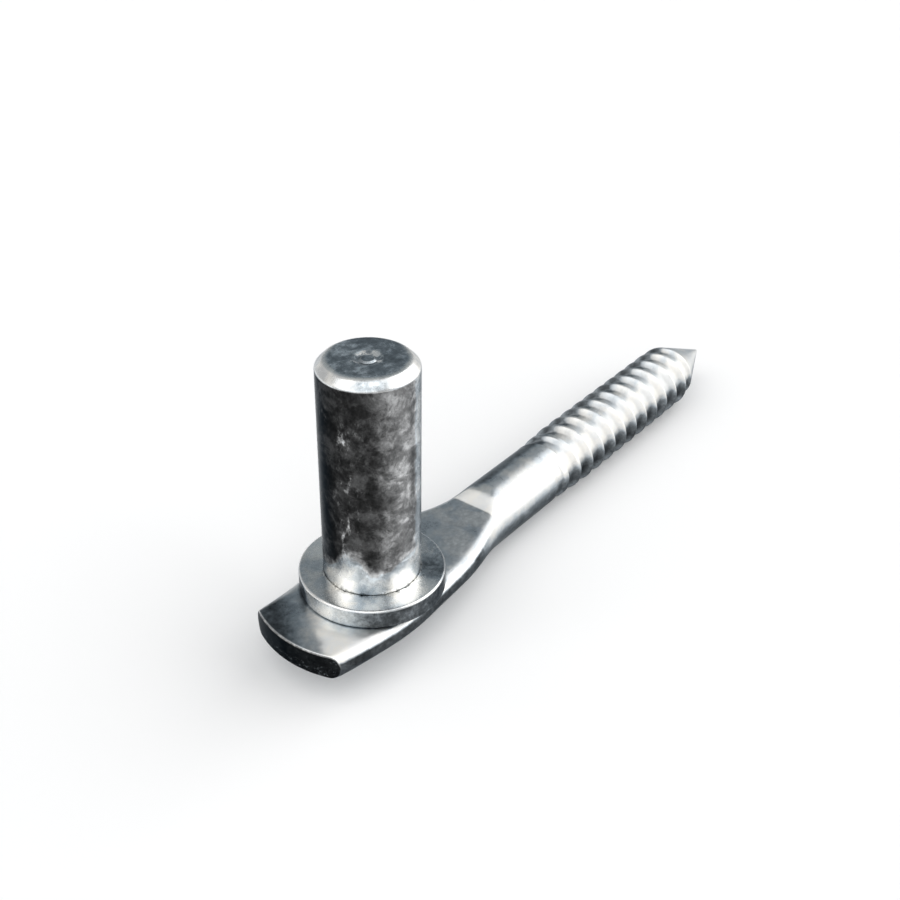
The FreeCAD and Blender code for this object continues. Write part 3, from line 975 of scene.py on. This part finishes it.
class HINGE_OT_collar_ring(bpy.types.Operator):
    """Build the collar ring round the foot of the pin"""

    bl_idname = "hinge.collar_ring"
    bl_label = "Collar Ring"

    def execute(self, context):
        scene = context.scene
        sizes, finish = scene.hinge_collar, scene.hinge_finish
        plating = zinc_material("collar_zinc", finish, collar_tone, mottle=520.0, contrast=0.65,
                                scuffs=0.06)
        top, under, rim = COLLAR_TOP / MM, COLLAR_FOOT / MM + CONTACT, COLLAR_RIM / MM
        bore, seat = sizes.bore_diameter / MM / 2, sizes.seat_diameter / MM / 2
        profile = eased_profile([
            (seat, top, 0.12),
            (bore, top - sizes.seat_depth / MM, 0.0),
            (bore, under, 0.0),
            (rim, under, 0.25),
            (rim, top, sizes.edge_ease / MM),
        ], closed=True, step=0.5)
        rows, edges = turned_rows(profile, sizes.around)
        piece = skin("collar_plated", rows, edges, plating, closed=True)

        # Bites out of the seat's upper edge, for the chipped seam.
        for vertex in piece.data.vertices:
            spot = vertex.co / MM
            reach = math.hypot(spot.x, spot.y)
            if spot.z > top - BITE_DROP and reach < seat + BITE_REACH:
                bite = noise.noise(spot * 1.4) + noise.noise(spot * 4.0) * 0.4
                fade = 1.0 - max(0.0, reach - seat) / BITE_REACH
                vertex.co.z -= max(0.0, bite) * BITE_DEPTH * MM * fade
        finish_piece(piece, "collar_ring")
        return {"FINISHED"}


class HINGE_OT_hinge_pin(bpy.types.Operator):
    """Build the upright pin with its centre mark, tenon and riveted head"""

    bl_idname = "hinge.hinge_pin"
    bl_label = "Hinge Pin"

    def execute(self, context):
        scene = context.scene
        sizes, finish = scene.hinge_pin_sizes, scene.hinge_finish
        plating = zinc_material("pin_zinc", finish, pin_tone, mottle=420.0, contrast=0.75,
                                blotches=0.55, scuffs=0.12, cool=0.36,
                                streaks=(800.0, 800.0, 420.0))
        top, foot = PIN_TOP / MM, PIN_FOOT / MM
        wall, chamfer = sizes.diameter / MM / 2, sizes.chamfer / MM
        seat, step = COLLAR_FOOT / MM + CONTACT, sizes.seat_step / MM
        mark, tenon = sizes.mark_diameter / MM / 2, sizes.tenon_diameter / MM / 2
        head, bevel = sizes.head_diameter / MM / 2, sizes.head_chamfer / MM
        under = foot + sizes.head_height / MM - CONTACT
        profile = eased_profile([
            (0.0, top - 0.05, 0.0),
            (mark * 0.78, top - 0.07, 0.3),
            (mark * 1.08, top - sizes.mark_depth / MM, 0.12),
            (mark * 1.8, top, 0.3),
            (wall - chamfer, top, 1.3),
            (wall, top - chamfer, 0.75),
            (wall, COLLAR_TOP / MM, 0.0),
            (wall - step, COLLAR_TOP / MM - step, 0.0),
            (wall - step, seat, 0.1),
            (tenon, seat, 0.0),
            (tenon, under, 0.0),
            (head, under, 0.2),
            (head, foot + bevel, 0.4),
            (head - bevel, foot, 0.8),
            (0.0, foot, 0.0),
        ], step=0.8)
        rows, edges = turned_rows(profile, sizes.around)
        piece = skin("pin_plated", rows, edges, plating)
        finish_piece(piece, "hinge_pin")
        return {"FINISHED"}


def soft_sun(name, azimuth, elevation, strength):
    """A soft lamp far away; azimuth 0 stands on the -Y side and turns towards +X."""
    lamp = bpy.data.lights.new(name, "SUN")
    lamp.energy = strength
    lamp.angle = math.radians(LAMP_ANGLE)
    turn, lift = math.radians(azimuth), math.radians(elevation)
    towards = Vector((math.sin(turn) * math.cos(lift), -math.cos(turn) * math.cos(lift),
                      math.sin(lift)))
    item = bpy.data.objects.new(name, lamp)
    item.rotation_mode = "QUATERNION"
    item.rotation_quaternion = towards.to_track_quat("Z", "Y")
    item.location = towards * 0.6
    bpy.context.scene.collection.objects.link(item)


class HINGE_OT_stage(bpy.types.Operator):
    """Build the floor, the light and the camera"""

    bl_idname = "hinge.stage"
    bl_label = "Stage"

    def execute(self, context):
        scene = context.scene
        studio = scene.hinge_studio

        half, level = FLOOR_HALF, ARM_FOOT - FLOOR_GAP * MM
        mesh = bpy.data.meshes.new("floor")
        mesh.from_pydata([(-half, -half, level), (half, -half, level), (half, half, level),
                          (-half, half, level)], [], [(0, 1, 2, 3)])
        paint = bpy.data.materials.new("floor_paint")
        paint.use_nodes = True
        shader = paint.node_tree.nodes["Principled BSDF"]
        shader.inputs["Base Color"].default_value = (*studio.floor, 1.0)
        shader.inputs["Roughness"].default_value = 0.9
        shader.inputs["Specular IOR Level"].default_value = 0.0
        mesh.materials.append(paint)
        floor = bpy.data.objects.new("floor", mesh)
        scene.collection.objects.link(floor)

        world = bpy.data.worlds.new("studio")
        world.use_nodes = True
        scene.world = world
        tree = world.node_tree
        direction = add_node(tree, "ShaderNodeTexCoord").outputs["Generated"]
        towards = add_node(tree, "ShaderNodeVectorMath", {0: direction, 1: SHADE_DIRECTION},
                           operation="DOT_PRODUCT")
        shade = span(tree, towards.outputs["Value"], 0.79, 0.95)
        tint = blend_colours(tree, shade, studio.walls, studio.shade)
        low = span(tree, split(tree, direction)[2], 0.04, 0.22, 1.0, 0.0)
        tint = blend_colours(tree, low, tint, studio.floor)
        feed(tree, tree.nodes["Background"].inputs["Color"], tint)

        soft_sun("key", 48.0, 35.0, studio.key)
        soft_sun("fill", -80.0, 45.0, studio.fill)

        view = bpy.data.cameras.new("camera")
        view.sensor_width = 36.0
        view.lens = CAMERA_LENS
        view.clip_start = 0.005
        view.clip_end = 20.0
        camera = bpy.data.objects.new("camera", view)
        camera.location = CAMERA_PLACE
        camera.rotation_euler = Euler([math.radians(angle) for angle in CAMERA_TURN], "XYZ")
        scene.collection.objects.link(camera)
        scene.camera = camera
        scene.view_settings.view_transform = "Standard"
        return {"FINISHED"}


class HINGE_PT_pieces(bpy.types.Panel):
    """Lists the pieces of the hinge pin"""

    bl_idname = "HINGE_PT_pieces"
    bl_label = "Gate Hinge Pin"
    bl_space_type = "VIEW_3D"
    bl_region_type = "UI"
    bl_category = "Hinge Pin"

    def draw(self, context):
        for operator in OPERATORS:
            self.layout.operator(operator.bl_idname)


GROUPS = {
    "hinge_arm": HingeArmSizes,
    "hinge_thread": HingeThreadSizes,
    "hinge_collar": HingeCollarSizes,
    "hinge_pin_sizes": HingePinSizes,
    "hinge_finish": HingeFinish,
    "hinge_studio": HingeStudio,
}
OPERATORS = (HINGE_OT_stage, HINGE_OT_threaded_arm, HINGE_OT_collar_ring, HINGE_OT_hinge_pin)
CLASSES = (*GROUPS.values(), *OPERATORS, HINGE_PT_pieces)


def register():
    """Register the classes and their properties."""
    for item in CLASSES:
        bpy.utils.register_class(item)
    for name, group in GROUPS.items():
        setattr(bpy.types.Scene, name, PointerProperty(type=group))


def unregister():
    """Take the classes and their properties away again."""
    for name in GROUPS:
        delattr(bpy.types.Scene, name)
    for item in reversed(CLASSES):
        bpy.utils.unregister_class(item)


def main():
    """Build every piece."""
    register()
    bpy.ops.hinge.stage()
    bpy.ops.hinge.threaded_arm()
    bpy.ops.hinge.collar_ring()
    bpy.ops.hinge.hinge_pin()


if __name__ == "__main__":
    main()
